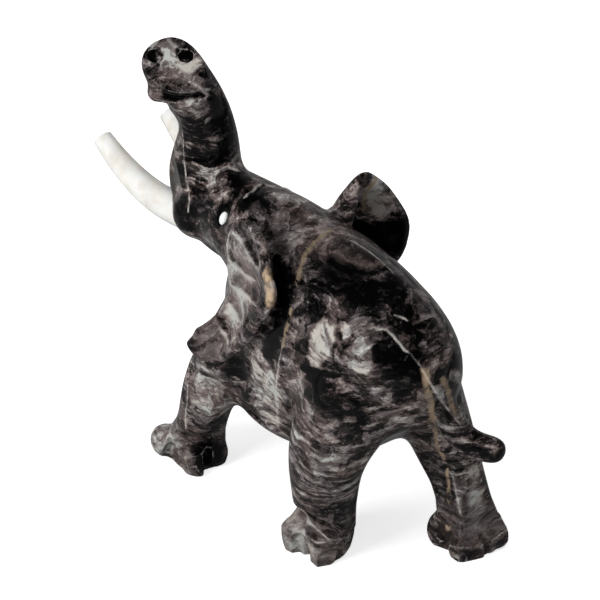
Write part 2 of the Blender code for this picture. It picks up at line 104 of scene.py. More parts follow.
# Regions that are lighter or darker, some of them painted shade and painted highlights, as noted where
# they stand: place, half sizes, strength, softness of edge
TONES_AND_PAINTED_LIGHT = [
    ((2, 22, 88), (4.5, 8, 9.5), 0.38, 0.25),
    ((-2.9, 17.6, 94), (4, 5, 3.4), 0.30, 0.25),
    ((-12, 13, 94.6), (4, 6, 5.2), 0.34, 0.25),
    ((-14, 17, 89), (6, 6, 5), 0.34, 0.25),
    ((-12.4, 22, 81.2), (4, 4, 4.2), 0.12, 0.3),
    ((-23.5, 16.4, 79.8), (4.5, 4, 2.8), 0.20, 0.3),
    ((11.4, 26.9, 74), (6, 5, 7), 0.30, 0.5),
    ((103.6, 6.5, 142.4), (9, 6, 7), 0.36, 0.6),
    ((93, 7, 132), (5, 6, 1.6), 0.16, 0.5),
    ((27, 27, 56), (9, 8, 18), 0.36, 0.4),
    ((48, 23, 90), (12, 9, 14), 0.30, 0.6),
    ((47, 30, 70), (9, 8, 9), 0.13, 0.6),
    ((43, 26, 81), (8, 6, 6), 0.20, 0.6),
    ((54, 32, 40), (12, 9, 12), 0.22, 0.6),
    ((76, 38.5, 8), (8, 8, 8), 0.30, 0.6),
    ((3, 31, 6), (14, 8, 8), 0.32, 0.7),
    ((-6, 33, 50), (14, 9, 14), 0.16, 0.7),
    # Painted highlight on the back of the right ear
    ((42, -34, 101), (5, 5, 7), 0.28, 0.7),
    ((-33, -11, 60), (5, 8, 16), 0.12, 0.7),
    ((-33, -19, 28), (5, 3, 16), 0.30, 0.5),
    # Painted reflection along the top of the back
    ((40, 5, 107.5), (14, 10, 6), 0.08, 0.8),
    ((-5, -2, 103), (30, 16, 9), -0.13, 0.6),
    ((-24, 9, 88), (8, 8, 12), -0.30, 0.5),
    ((-8, 26, 74.5), (13, 7, 5), -0.34, 0.5),
    ((17, 18, 97), (8, 7, 7), -0.20, 0.6),
    ((90, 2, 119), (9, 9, 16), -0.12, 0.6),
    ((99, 11, 104), (4, 5, 3), -0.3, 0.4),
    ((88, 15, 91), (7, 7, 10), -0.34, 0.6),
    ((76, 0, 108), (6, 4, 3), -0.3, 0.5),
    ((83, 10, 99), (8, 8, 7), -0.16, 0.6),
    ((91, 9, 107), (5, 5, 7), 0.16, 0.5),
    ((62, 8, 105), (12, 8, 6), -0.12, 0.6),
    # Painted reflection along the top of the back
    ((40, -8, 108), (26, 6, 5), 0.12, 0.7),
    ((-2, 25, 20), (14, 12, 8), -0.05, 0.7),
    ((58, 31, 7), (5, 6, 7), -0.45, 0.6),
    # Painted shadow under the left ear's lower edge
    ((47, 27, 55), (8, 6, 5), -0.4, 0.5),
    ((69, 13.4, 99.5), (3.6, 3.6, 4), -0.5, 0.4),
    ((7, 9, 103.5), (16, 8, 5), -0.26, 0.6),
    ((0, 13, 99.5), (10, 4, 2.6), 0.18, 0.5),
    # Painted reflection along the top of the back
    ((20, -3, 108), (14, 6, 4), 0.08, 0.6),
    ((23.3, 25, 99.5), (2.5, 2, 3.5), 0.4, 0.3),
    ((-5, 31, 10), (4, 4, 2), -0.3, 0.5),
    # Painted shade in the two nostril hollows
    ((112.3, 10.3, 145.2), (3, 3, 3), -0.7, 0.3),
    ((105.3, 1.7, 145), (2.8, 2.8, 2.8), -0.7, 0.3),
    # Painted shade in the undercut below the trunk tip's end face
    ((95.5, 6.3, 137), (3, 3, 1.8), -0.45, 0.4),
    ((-27, -12, 36), (8, 8, 6), -0.2, 0.6),
    ((-42, -18, 58), (8, 8, 6), -0.14, 0.6),
]

# Regions where the stone's pattern is quieter: place, half sizes, share that is left out
CALM = [
    ((46, 25, 92), (16, 12, 22), 0.55),
    ((48, 33, 66), (12, 10, 10), 0.4),
    ((-4, 30, 44), (18, 14, 24), 0.3),
    ((2, 22, 88), (6, 10, 11), 0.5),
    ((0, 28, 64), (18, 12, 13), 0.35),
    ((28, 0, 107), (36, 20, 10), 0.3),
    ((0, 29, 10), (20, 14, 18), 0.5),
    ((62, 30, 10), (20, 14, 18), 0.4),
    ((-34, -18, 10), (18, 16, 18), 0.5),
]

# Regions that show level bands: place, half sizes, strength
BANDED = [
    ((-4, 30, 38), (22, 18, 36), 0.18),
    ((94, 6, 116), (16, 14, 22), 0.18),
    ((2, 22, 88), (7, 10, 12), 0.2),
    ((-36, -14, 46), (18, 16, 34), 0.16),
]

# Lighter or darker strokes, among them cracks in the stone and painted shade and painted highlights as
# noted where they stand:
# half width, strength, the way they face (None for every way), places
STROKES_AND_PAINTED_LIGHT = [
    # Painted shade in the cut of the mouth
    (2.2, -0.8, None, [(104.6, 15, 134), (100, 11.8, 135), (96, 8.2, 136), (94, 4.8, 135.8),
                       (93.3, 2.2, 134.4)]),
    (1.5, 0.22, None, [(103.4, 14.8, 131.8), (96.9, 11.7, 132.6), (91.8, 5.8, 132.8)]),
    (1.7, -0.8, None, [(8.5, 27, 75.6), (-1.4, 25.3, 79), (-9.9, 22.6, 81.7)]),
    (4.2, -0.3, None, [(92.5, 0.7, 136), (88.9, 0.2, 127.9), (86.2, -0.6, 116.5), (86.4, 3, 109)]),
    # Painted shadow in the gap between the left ear's rear edge and the shoulder
    (6.0, -0.6, None, [(36.9, 14.4, 101.6), (28.7, 18.6, 97.8), (23.1, 21.2, 93.7), (20.7, 23.9, 88),
                       (21.7, 25.8, 81.9), (24.3, 26.8, 76.6), (27, 27.2, 70)]),
    (0.8, -0.4, None, [(-1, 16.5, 95.5), (-4.5, 18.5, 92), (-9, 19, 88.5)]),
    (0.8, -0.4, None, [(-6, 15.5, 95.3), (-9.5, 17, 92), (-8.5, 20, 87)]),
    # Painted shade on the back face of the right ear
    (11.5, -0.9, (-0.7, 0.7, 0), [(60, -17, 79), (22, -52, 94)]),
    # Painted highlight on the back of the right ear
    (4.5, 0.4, (-0.7, 0.7, 0), [(40, -30.5, 113), (40.6, -32.3, 106.5), (41.6, -34.1, 101.9),
                                (40, -36, 94)]),
]

# Tan veins: half width, paleness, places
VEINS = [
    (1.1, 0.15, [(29.4, -3.7, 109.3), (27.4, 3.6, 108.8), (26.2, 10.1, 106), (22.3, 16.2, 100.7)]),
    (0.8, 0.3, [(22.3, 16.2, 100.7), (19.9, 20.2, 95.1), (18, 23.4, 88.9), (17.8, 26.2, 80.1)]),
    (1.3, 0.8, [(-30.2, 3.7, 87.1), (-33.2, 4.6, 79.3), (-30, -0.4, 64.9)]),
    (0.9, 0.7, [(-30, -0.4, 64.9), (-23.8, -8.1, 47.7), (-26.1, -11.4, 33.3), (-27.8, -12, 17.3),
                (-27.7, -11.5, 8.4)]),
    (1.2, 0.5, [(-33.2, -1.7, 82.6), (-34, -7, 68)]),
    (0.8, 0.6, [(40.2, -32.4, 113.3), (41, -29.5, 109.5), (44, -29.5, 103), (45, -31.3, 98)]),
    (0.7, 0.4, [(63, 36, 9), (62.5, 37, 0)]),
    (2.6, 1.0, [(26.3, 26.1, 103.6), (24, 27.4, 96.5)]),
]

# Hollows: place, the way they face, half sizes across and upward, depth
HOLLOWS = [
    ((111.5, 10.6, 145.8), (-0.42, 0.34, 0.84), 3.1, 2.7, 2.0),
    ((104.8, 2.2, 145.5), (-0.42, 0.34, 0.84), 2.8, 2.6, 2.0),
]

# Lines cut in (or, with a depth below nought, raised): width, depth, the way they face, places
LINES = [
    (1.8, 1.6, (-0.6, 0.6, 0.2), [(106.2, 16.2, 134.3), (102.2, 13.5, 134.2), (97.6, 10.2, 134.5),
                                  (94.5, 6, 134.8), (92.8, 2.8, 134.4)]),
    (2.0, -0.5, (-0.5, 0.5, 0.7), [(97.5, 7, 140), (93.5, 1.8, 135.8)]),
    (2.6, -0.5, (-0.3, 0.9, 0), [(99, 8.9, 121.4), (96.8, 9.8, 113.2), (93, 11.6, 103.1),
                                 (88.5, 13.6, 97.7), (85.5, 14.9, 84.8), (80, 16.5, 74)]),
    (2.6, -0.8, (-0.1, 0.97, 0), [(65.8, 32.8, 39.5), (63.4, 34.8, 30.6), (64.5, 34.4, 16.7),
                                  (64.3, 32.7, 11.5)]),
    (1.6, 0.9, (-0.4, 0.8, 0.4), [(6, 30, 22), (0.5, 29.7, 18.3), (-4.3, 28.6, 16), (-9, 27.2, 14.4)]),
    (1.4, -0.4, (-0.4, 0.7, 0.5), [(3.6, 30.4, 17.5), (-0.5, 29.6, 15.6), (-4.6, 28.3, 13.7),
                                   (-9.7, 27, 11.4)]),
    (1.6, -0.5, (-0.4, 0.6, 0.6), [(-3.8, 31.2, 10.4), (-6.3, 29.8, 9.8), (-8.6, 27.8, 10.6)]),
    (2.5, -0.7, (-0.4, 0.9, 0), [(-28.4, -12.2, 34), (-31.4, -13.3, 21.3), (-33.3, -15.4, 10.1)]),
    (2.4, -0.8, (-0.5, 0.6, 0.5), [(38.4, -16.2, 104.9), (46.4, -29.5, 94.5), (43.2, -32.4, 96.2),
                                   (39.6, -35.5, 98.1)]),
    (1.0, 0.5, (0.1, 0.6, 0.8), [(36.9, 11, 104.7), (31.3, 13.1, 103.7)]),
    (1.0, 0.5, (0.1, 0.6, 0.8), [(31.3, 13.1, 103.7), (33.2, 8.6, 106.5)]),
    (2.4, -0.6, (0, 1, 0), [(17.8, 26.2, 80), (18.5, 27.5, 69.6), (20.5, 26.5, 59), (23.2, 24.4, 47.9),
                            (24.2, 23.3, 37.8)]),
    (2.5, -0.7, (-0.2, -0.2, 0.96), [(21.2, -5.5, 108), (14, -7.5, 106.6), (8.5, -8.3, 104.9),
                                     (2, -9, 103)]),
]

# Ridges with a hollow on their left, which is given painted shade while the ridge's rim and worn line get
# a painted highlight: width of the hollow, depth, half width of the worn line, the way they face, places
FLUTES = [
    (7.0, 1.3, 0.7, (0.1, 0.95, 0.2), [(59.3, 18.3, 101), (56.3, 20.2, 92.2), (50.6, 20.7, 92.3),
                                       (44, 21.6, 92.8), (36.7, 23.5, 95.3)]),
    (6.5, 1.3, 0.5, (0.1, 0.95, 0.2), [(55.7, 18, 103.5), (50.5, 18.6, 102.4), (45.6, 20.4, 101.9),
                                       (38.4, 22.9, 101.9), (33, 24.6, 102.5)]),
    (6.0, 1.2, 0.6, (0.1, 0.95, 0.2), [(55, 21.4, 85.9), (53, 21.9, 83.7), (45.1, 23.7, 87.3),
                                       (37.7, 25.7, 89.1), (29, 28.8, 91)]),
    (6.0, 1.2, 0.5, (0.1, 0.95, 0.2), [(52.2, 24.1, 77.9), (47.8, 24.8, 77.2), (41.1, 27.3, 76.8)]),
    (6.0, 1.2, 0.5, (0.1, 0.9, 0.3), [(52.7, 29.2, 73), (49.7, 28.7, 69.4), (42.2, 31.9, 69.1)]),
    (6.0, 1.2, 1.1, (-0.6, 0.4, 0.7), [(-24.4, 6, 92.2), (-22.9, 6.9, 92.9), (-20.3, 7.3, 94.5),
                                       (-17.9, 7.5, 95.8), (-15.3, 8, 96.8), (-13.2, 9.3, 97.1)]),
    (4.0, 0.8, 0.6, (-0.4, 0.1, 0.9), [(-17.1, 0.1, 98.1), (-15, 0.9, 98.9), (-12.5, 3.1, 99.6)]),
    (5.0, 1.0, 0.7, (-0.8, 0.2, 0.4), [(-36.3, -8.5, 61.4), (-33.9, -4.4, 68.7), (-33.9, 1.8, 79.3),
                                       (-31.7, 3.6, 84.6), (-27.8, 4.8, 89.5), (-24.8, 5.8, 92)]),
    (5.0, 1.0, 0.8, (-0.3, 0.3, 0.9), [(80.9, -3.2, 107), (84, -0.2, 108.4), (84.4, 2.7, 108),
                                       (84.4, 5.8, 106.1)]),
    (5.0, 0.8, 0.6, (0, 0.4, 0.9), [(68.8, -3.9, 107.8), (66.3, 2.5, 108), (66, 6.7, 106.9)]),
]

# Mesh: merged corners, evening out and the most triangles the stone keeps
DOUBLED = 0.01 * MM
BODY_ROUNDS = 40
FOOT_ROUNDS = 4
FOOT_HEIGHT = 14 * MM
MOST_TRIANGLES = 190000
STONE_CREASE = math.radians(28)
TUSK_CREASE = math.radians(35)

# Cuts, in millimetres: how deep a flat bites, how near a ridge its hollow starts, crests on ridges
FLAT_BITE = 0.35
FLUTE_STEP = 0.4
CREST_WIDTH = 1.2
CREST_HEIGHT = 0.4

# Cuts, as shares: where a flat fades out, how a flute runs out, how narrow the tips of lines are,
# and how soon a cut fades where the surface turns away from it
FLAT_FADE = 0.25
FLUTE_CURVE = 1.5
TIP_WIDTH = 0.15
FACING_SLOPE = 3

# Marks on the stone, in millimetres: worn lines with their painted highlight, steps of a line laid on the
# surface, rims of ridges with their painted highlight
WORN_AND_HIGHLIT_LINE = 0.5
LAID_STEP = 1.5
RIM_WIDTH = 2.4

# Marks on the stone: the largest gap stored in half widths, how sharply marks end, and strengths of the
# painted shade in flute hollows, the painted highlight on their rims and the painted highlight near worn
# ridges
LONGEST_GAP = 6.0
OVAL_FADE = 2.5
STROKE_FADE = 1.3
PAINTED_HOLLOW_SHADE = -0.28
PAINTED_RIM_HIGHLIGHT = 0.2
RIDGE_WEAR_AND_HIGHLIGHT = 0.14

# How the stone's bedding is bent: scale and detail of the folds and of the ripples
BENDS = {"Fold": (0.32, 1.0), "Ripple": (1.7, 3.0)}

# How the marble's clouds are turned and stretched, in radians and times
BEDS = {
    "bedded": ((0.1, 0.2, 0), (1, 1, 1.7)),
    "layered": ((0.15, 0.1, 0.3), (0.5, 0.5, 3.4)),
}

# The marble's clouds: weight, bed, scale, detail, roughness, distortion, the span they are cut to,
# and the middle value that is taken off
CLOUDS = {
    "Blotches": (0.9, "bedded", 0.65, 2.0, 0.55, 0.0, None, 0.5),
    "Mottle": (0.8, "bedded", 1.9, 4.0, 0.55, 0.5, None, 0.5),
    "Patches": (0.26, "bedded", 1.15, 5.0, 0.55, 0.6, (0.47, 0.53), 0.5),
    "Islands": (0.17, "bedded", 2.8, 4.0, 0.55, 0.7, (0.53, 0.58), 0.3),
    "Bands": (0.10, "layered", 1.5, 4.5, 0.55, 0.4, (0.44, 0.56), 0.5),
    "Flecks": (0.13, "bedded", 6.5, 4.0, 0.6, 0.0, (0.57, 0.63), 0.2),
    "Grains": (0.22, "plain", 14.0, 4.0, 0.7, 0.0, None, 0.5),
}

# Cracks between the clouds, the value the clouds wander round, and how ragged the veins are
CRACK_WEIGHT = -0.16
CRACK_HALF_WIDTH = 0.016
CRACK_MIDDLE = 0.1
MEAN_VALUE = 0.50
VEIN_RAGGED = 2.4

# Colours of the marble from its darkest to its palest value
MARBLE_COLOURS = [
    (0.12, (0.0012, 0.0012, 0.0013)),
    (0.28, (0.0060, 0.0055, 0.0055)),
    (0.40, (0.024, 0.0195, 0.0190)),
    (0.52, (0.067, 0.0540, 0.0530)),
    (0.66, (0.140, 0.1150, 0.1130)),
    (0.80, (0.250, 0.2330, 0.2230)),
    (0.98, (0.455, 0.4550, 0.4250)),
]

# Polish: how much the marble mirrors, how much grit adds to the waves, and how high they are
MARBLE_SPECULAR = 0.17
GRIT_SHARE = 0.02
WAVE_HEIGHT = 0.1 * MM

# How much light goes into the tusks, and how far each of its colours reaches
ONYX_GLOW = 0.7
ONYX_GLOW_REACH = (0.006, 0.005, 0.004)

# Sockets of the colour mix node: share, first, second, and result
MIX_SOCKETS = (0, 6, 7)
MIX_RESULT = 2

# Camera, as in the photo: turn and rise of its direction, distance, aim across and above, lens in mm
CAMERA_TURN = math.radians(37.9)
CAMERA_RISE = math.radians(35.3)
CAMERA_AWAY = 0.90
CAMERA_AIM = (-0.025812, 0.079524)
CAMERA_LENS = 150.0
CAMERA_SENSOR = 36
CAMERA_CLIP = 0.01

# Stage: floor, greys of the sky by height, and the two lights. The key light's place is across,
# above and behind the camera's aim, as the camera sees it.
FLOOR_SIZE = 6
FLOOR_DEPTH = 0.2 * MM
FLOOR_ROUGHNESS = 0.9
FLOOR_GLOW = 0.75
SKY = [(0.0, 0.6), (0.22, 0.28), (0.45, 0.04), (1.0, 0.01)]
SKY_STRENGTH = 0.9
TOP_HEIGHT = 1.0
TOP_SIZE = 1.2
TOP_WATTS = 6.5
KEY_PLACE = (-0.8, 0.1, 0.75)
KEY_AIM = (0, 0, 0.07)
KEY_SIZE = 0.45
KEY_WATTS = 9.5


def figure_middle():
    """Where the figure's middle line meets the ground, from the tusks, which mirror each other."""
    left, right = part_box("left_tusk"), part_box("right_tusk")
    return Vector(((left[1].x + right[0].x) / 2, left[0].y + TUSK_TIP_FORWARD, 0))


MIDDLE = figure_middle()


def place(forward, left, up):
    """A point of the figure, given in millimetres from its middle line and the ground."""
    return MIDDLE + Vector((left, -forward, up)) * MM


def direction(forward, left, up):
    """A way to face, given by its parts forward, to the figure's left and up."""
    return Vector((left, -forward, up)).normalized()


def only(obj):
    """Makes obj the one selected and active object."""
    bpy.ops.object.select_all(action="DESELECT")
    obj.select_set(True)
    bpy.context.view_layer.objects.active = obj


def copy_of(node, name):
    """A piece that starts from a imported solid's own faces, with its doubled corners merged."""
    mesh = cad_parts[node].data.copy()
    mesh.name = name
    mesh.materials.clear()
    obj = bpy.data.objects.new(name, mesh)
    bpy.context.scene.collection.objects.link(obj)
    only(obj)
    bpy.ops.object.mode_set(mode="EDIT")
    bpy.ops.mesh.select_all(action="SELECT")
    bpy.ops.mesh.remove_doubles(threshold=DOUBLED)
    bpy.ops.object.mode_set(mode="OBJECT")
    return obj


def finish_with(obj, kind, **values):
    """Adds a modifier with these values and applies it."""
    only(obj)
    modifier = obj.modifiers.new(kind.title(), kind)
    for key, value in values.items():
        setattr(modifier, key, value)
    bpy.ops.object.modifier_apply(modifier=modifier.name)


def triangle_count(obj):
    return sum(len(face.vertices) - 2 for face in obj.data.polygons)


def corners(obj):
    """Where the mesh's corners are, and the way each faces."""
    count = len(obj.data.vertices)
    points = np.empty(count * 3)
    normals = np.empty(count * 3)
    obj.data.vertices.foreach_get("co", points)
    obj.data.vertices.foreach_get("normal", normals)
    return points.reshape(-1, 3), normals.reshape(-1, 3)


def edge_ends(obj):
    """The two corners of each of the mesh's edges."""
    edges = np.empty(len(obj.data.edges) * 2, dtype=np.int64)
    obj.data.edges.foreach_get("vertices", edges)
    return edges.reshape(-1, 2)


def put_back(obj, points):
    """Moves the corners there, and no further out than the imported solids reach."""
    low, high = (np.array(corner) for corner in CAD_BOX)
    obj.data.vertices.foreach_set("co", np.clip(points, low, high).ravel())
    obj.data.update()


def relax(values, edges, rounds):
    """Moves each corner's value halfway to the mean of its neighbours', again and again."""
    ends = np.concatenate([edges, edges[:, ::-1]])
    count = np.bincount(ends[:, 0], minlength=len(values))
    for _ in range(rounds):
        gathered = values[ends[:, 1]]
        total = [np.bincount(ends[:, 0], weights=column, minlength=len(values)) for column in gathered.T]
        values = (values + np.stack(total, axis=1) / count[:, None]) / 2
    return values


def evened(points, edges, rounds):
    """The corners with their bumps relaxed, and most of what that took away given back."""
    smooth = relax(points, edges, rounds)
    return smooth + relax(points - smooth, edges, rounds)


def soften(obj):
    """Evens out the solid's facets, and less so on the sharply cut feet."""
    points, _ = corners(obj)
    edges = edge_ends(obj)
    share = np.clip(points[:, 2] / FOOT_HEIGHT - 1, 0, 1)[:, None]
    lightly = evened(points, edges, FOOT_ROUNDS)
    fully = evened(points, edges, BODY_ROUNDS)
    put_back(obj, lightly + (fully - lightly) * share)


def facing_share(normals, facing):
    """How far each corner faces that way, from nought to one."""
    return np.clip(normals @ facing * FACING_SLOPE, 0, 1)


def pare(obj):
    """Presses what stands above each flat down onto it, fading out near the end of its reach."""
    points, _ = corners(obj)
    for where, towards, reach in FLATS:
        facing = np.array(direction(*towards))
        middle = np.array(place(*where)) - facing * FLAT_BITE * MM
        above = (points - middle) @ facing
        away = np.linalg.norm(points - middle, axis=1) / (reach * MM)
        share = np.clip((1 - away) / FLAT_FADE, 0, 1) * (above > 0)
        points -= np.outer(above * share, facing)
    put_back(obj, points)


def route_through(line):
    """A line's places in the scene."""
    return [np.array(place(*where)) for where in line]


def laid_on(obj, line):
    """The line in short steps, each of them moved straight in or out onto the surface."""
    points, normals = corners(obj)
    laid = []
    route = route_through(line)
    for start, end in zip(route, route[1:]):
        steps = max(1, round(np.linalg.norm(end - start) / (LAID_STEP * MM)))
        for share in np.linspace(0, 1, steps, endpoint=False):
            laid.append(start + (end - start) * share)
    laid.append(route[-1])
    for k, step in enumerate(laid):
        nearest = np.argmin(((points - step) ** 2).sum(axis=1))
        laid[k] = step + normals[nearest] * ((points[nearest] - step) @ normals[nearest])
    return laid


def gap_to_line(points, route, facing=(0, 0, 1)):
    """Each point's gap to a line through these places, how far it lies to the line's left as seen
    from outside, and its share of the way along the line."""
    lengths = [np.linalg.norm(end - start) for start, end in zip(route, route[1:])]
    best = np.full(len(points), np.inf)
    leftward = np.zeros(len(points))
    along = np.zeros(len(points))
    passed = 0.0
    for start, end, length in zip(route, route[1:], lengths):
        run = end - start
        share = np.clip((points - start) @ run / (run @ run), 0, 1)
        offset = points - start - np.outer(share, run)
        gap = np.linalg.norm(offset, axis=1)
        nearer = gap < best
        best[nearer] = gap[nearer]
        leftward[nearer] = (offset @ np.cross(facing, run / length))[nearer]
        along[nearer] = ((passed + share * length) / sum(lengths))[nearer]
        passed += length
    return best, leftward, along


def taper(along):
    """The full width in the middle of a line, and little of it at the two ends."""
    return TIP_WIDTH + (1 - TIP_WIDTH) * np.sqrt(np.clip(4 * along * (1 - along), 0, 1))


def score(obj, lines):
    """Cuts a V along each line, or raises a crest where the depth is below nought."""
    for width, depth, towards, line in lines:
        points, normals = corners(obj)
        facing = np.array(direction(*towards))
        gap, _, along = gap_to_line(points, route_through(line))
        share = np.clip(1 - gap / (width * MM), 0, 1) * taper(along)
        share *= facing_share(normals, facing)
        put_back(obj, points - np.outer(share * depth * MM, facing))


def flute(obj):
    """Scoops the face on the left of each ridge hollow: steep at the ridge, and running out further on."""
    for width, depth, _, towards, line in FLUTES:
        points, normals = corners(obj)
        facing = np.array(direction(*towards))
        gap, leftward, along = gap_to_line(points, route_through(line), facing)
        share = np.clip(1 - gap / (width * MM), 0, 1) ** FLUTE_CURVE * taper(along)
        share *= np.clip(leftward / (FLUTE_STEP * MM), 0, 1) * facing_share(normals, facing)
        put_back(obj, points - np.outer(share * depth * MM, facing))


def sink(obj):
    """Hollows out the ovals."""
    for where, towards, across, upwards, depth in HOLLOWS:
        points, normals = corners(obj)
        facing = np.array(direction(*towards))
        upward = np.array((0, 0, 1)) - facing * facing[2]
        upward /= np.linalg.norm(upward)
        sideways = np.cross(upward, facing)
        away = (points - np.array(place(*where))) / MM
        round_about = (away @ sideways / across) ** 2 + (away @ upward / upwards) ** 2
        share = np.sqrt(np.clip(1 - round_about, 0, 1))
        share *= (np.abs(away @ facing) < across + upwards) * facing_share(normals, facing)
        put_back(obj, points - np.outer(share * depth * MM, facing))


def store(obj, name, values):
    """Keeps one value for each corner in the mesh, for the material to read."""
    attribute = obj.data.attributes.new(name, "FLOAT", "POINT")
    attribute.data.foreach_set("value", values)


def mark_worn_and_highlit(obj):
    """Stores how far each corner lies from the nearest sharp edge, in half widths of its worn line,
    and how far it stands out from the corners round it, for the painted highlight and wear along edges."""
    points, normals = corners(obj)
    worn_and_highlit = [(WORN_AND_HIGHLIT_LINE, line) for _, depth, _, line in LINES if depth < 0]
    worn_and_highlit += [(width, line) for _, _, width, _, line in FLUTES]
    gaps = []
    for width, line in worn_and_highlit:
        gap, _, along = gap_to_line(points, laid_on(obj, line))
        gaps.append(gap / (width * MM * taper(along)))
    store(obj, "edge_gap", np.minimum(np.min(gaps, axis=0), LONGEST_GAP))
    edges = edge_ends(obj)
    ends = np.concatenate([edges, edges[:, ::-1]])
    away = points[ends[:, 0]] - points[ends[:, 1]]
    steep = (away * normals[ends[:, 0]]).sum(axis=1) / np.linalg.norm(away, axis=1)
    count = np.bincount(ends[:, 0], minlength=len(points))
    store(obj, "sharpness", np.bincount(ends[:, 0], weights=steep, minlength=len(points)) / count)


def mark_veins(obj):
    """Stores how far each corner lies from the nearest tan vein, in half widths of that vein,
    and how pale that vein is."""
    points, _ = corners(obj)
    gaps = [gap_to_line(points, laid_on(obj, line))[0] / (width * MM) for width, _, line in VEINS]
    store(obj, "vein_gap", np.minimum(np.min(gaps, axis=0), LONGEST_GAP))
    store(obj, "vein_pale", np.array([pale for _, pale, _ in VEINS])[np.argmin(gaps, axis=0)])


def mark_shades(obj):
    """Stores how much lighter or darker the stone is along its strokes, hollows and ridges: painted shade
    in the hollows, painted highlights on the rims, and the strokes' cracks, painted shade and painted
    highlights.
    """
    points, normals = corners(obj)
    shade = np.zeros(len(points))
    for width, strength, towards, line in STROKES_AND_PAINTED_LIGHT:
        gap, _, along = gap_to_line(points, route_through(line))
        share = np.clip(STROKE_FADE * (1 - gap / (width * MM * taper(along))), 0, 1)
        if towards:
            share *= facing_share(normals, np.array(direction(*towards)))
        shade += strength * share
    # Painted shade in each flute's hollow, and a painted highlight on its rim
    for width, _, _, towards, line in FLUTES:
        facing = np.array(direction(*towards))
        gap, leftward, along = gap_to_line(points, route_through(line), facing)
        hollow = np.clip(1 - gap / (width * MM), 0, 1) * (leftward > 0)
        rim = np.clip(1 - gap / (RIM_WIDTH * MM), 0, 1) * (leftward <= 0)
        outward = facing_share(normals, facing) * taper(along)
        shade += (PAINTED_HOLLOW_SHADE * hollow + PAINTED_RIM_HIGHLIGHT * rim) * outward
    store(obj, "shade", shade)


def mark_regions(obj, name, regions):
    """Stores how strongly each corner belongs to these oval regions."""
    points, _ = corners(obj)
    share = np.zeros(len(points))
    for where, (forward, left, up), strength in regions:
        away = np.linalg.norm((points - np.array(place(*where))) / MM / (left, forward, up), axis=1)
        share = np.maximum(share, strength * np.clip(OVAL_FADE * (1 - away), 0, 1))
    store(obj, name, share)


def dress(obj, node, material):
    """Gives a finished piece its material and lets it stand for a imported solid."""
    obj.data.materials.clear()
    obj.data.materials.append(material)
    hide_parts(node)
    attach(obj, "root")


class Sheet:
    """A node tree that is filled by naming each node, its values and what feeds it."""

    def __init__(self, tree):
        self.tree = tree

    def feed(self, socket, value):
        """Links the value to the socket, or sets it there when it is the same all over."""
        if isinstance(value, bpy.types.NodeSocket):
            self.tree.links.new(value, socket)
        else:
            socket.default_value = value

    def add(self, kind, feeds=None, **settings):
        node = self.tree.nodes.new("ShaderNode" + kind)
        for key, value in settings.items():
            setattr(node, key, value)
        for key, value in (feeds or {}).items():
            self.feed(node.inputs[key], value)
        return node.outputs

    def stored(self, name):
        """A value that the mesh keeps for each of its corners."""
        return self.add("Attribute", attribute_name=name)["Fac"]

    def maths(self, operation, first, second=0.0, third=0.0):
        return self.add("Math", {0: first, 1: second, 2: third}, operation=operation)[0]

    def vector(self, operation, first, second=(0, 0, 0), **feeds):
        made = self.add("VectorMath", {0: first, 1: second, **feeds}, operation=operation)
        return made["Value"] if operation == "LENGTH" else made["Vector"]

    def span(self, value, low, high, to_low=0.0, to_high=1.0):
        """Runs smoothly from to_low to to_high as value runs from low to high."""
        feeds = {"Value": value, "From Min": low, "From Max": high,
                 "To Min": to_low, "To Max": to_high}
        return self.add("MapRange", feeds, interpolation_type="SMOOTHSTEP")["Result"]

    def noise(self, vector, scale, detail=4.0, roughness=0.55, distortion=0.0):
        feeds = {"Vector": vector, "Scale": scale, "Detail": detail,
                 "Roughness": roughness, "Distortion": distortion}
        return self.add("TexNoise", feeds)

    def mix(self, share, first, second, blend="MIX"):
        """Goes from the first colour to the second as the share goes from nought to one."""
        made = self.tree.nodes.new("ShaderNodeMix")
        made.data_type = "RGBA"
        made.blend_type = blend
        for socket, value in zip(MIX_SOCKETS, (share, first, second)):
            self.feed(made.inputs[socket], value)
        return made.outputs[MIX_RESULT]

    def ramp(self, share, stops):
        """Colours a value by stops, each a place on the ramp and a colour."""
        made = self.tree.nodes.new("ShaderNodeValToRGB")
        elements = made.color_ramp.elements
        for element, (position, colour) in zip(elements, (stops[0], stops[-1])):
            element.position, element.color = position, (*colour, 1)
        for position, colour in stops[1:-1]:
            elements.new(position).color = (*colour, 1)
        self.feed(made.inputs[0], share)
        return made.outputs[0]

    def group(self, tree, **feeds):
        made = self.tree.nodes.new("ShaderNodeGroup")
        made.node_tree = tree
        for key, value in feeds.items():
            self.feed(made.inputs[key.replace("_", " ")], value)
        return made.outputs


def new_group(name, inputs, outputs):
    """A node group with named sockets: (name, kind, default) in, (name, kind) out."""
    tree = bpy.data.node_groups.new(name, "ShaderNodeTree")
    for label, kind, default in inputs:
        socket = tree.interface.new_socket(name=label, in_out="INPUT", socket_type="NodeSocket" + kind)
        socket.default_value = default
    for label, kind in outputs:
        tree.interface.new_socket(name=label, in_out="OUTPUT", socket_type="NodeSocket" + kind)
    inside = tree.nodes.new("NodeGroupInput")
    outside = tree.nodes.new("NodeGroupOutput")
    return Sheet(tree), inside.outputs, outside.inputs


def drift_group():
    """Bends the stone's bedding: wide folds and small ripples."""
    sheet, given, out = new_group(
        "drift",
        [("Vector", "Vector", (0, 0, 0)), ("Fold", "Float", 1.0), ("Ripple", "Float", 0.25)],
        [("Vector", "Vector")],
    )
    bent = given["Vector"]
    for amount, (scale, detail) in BENDS.items():
        push = sheet.noise(given["Vector"], scale, detail)["Color"]
        push = sheet.vector("SUBTRACT", push, (0.5, 0.5, 0.5))
        push = sheet.vector("SCALE", push, Scale=given[amount])
        bent = sheet.vector("ADD", bent, push)
    sheet.feed(out["Vector"], bent)
    return sheet.tree


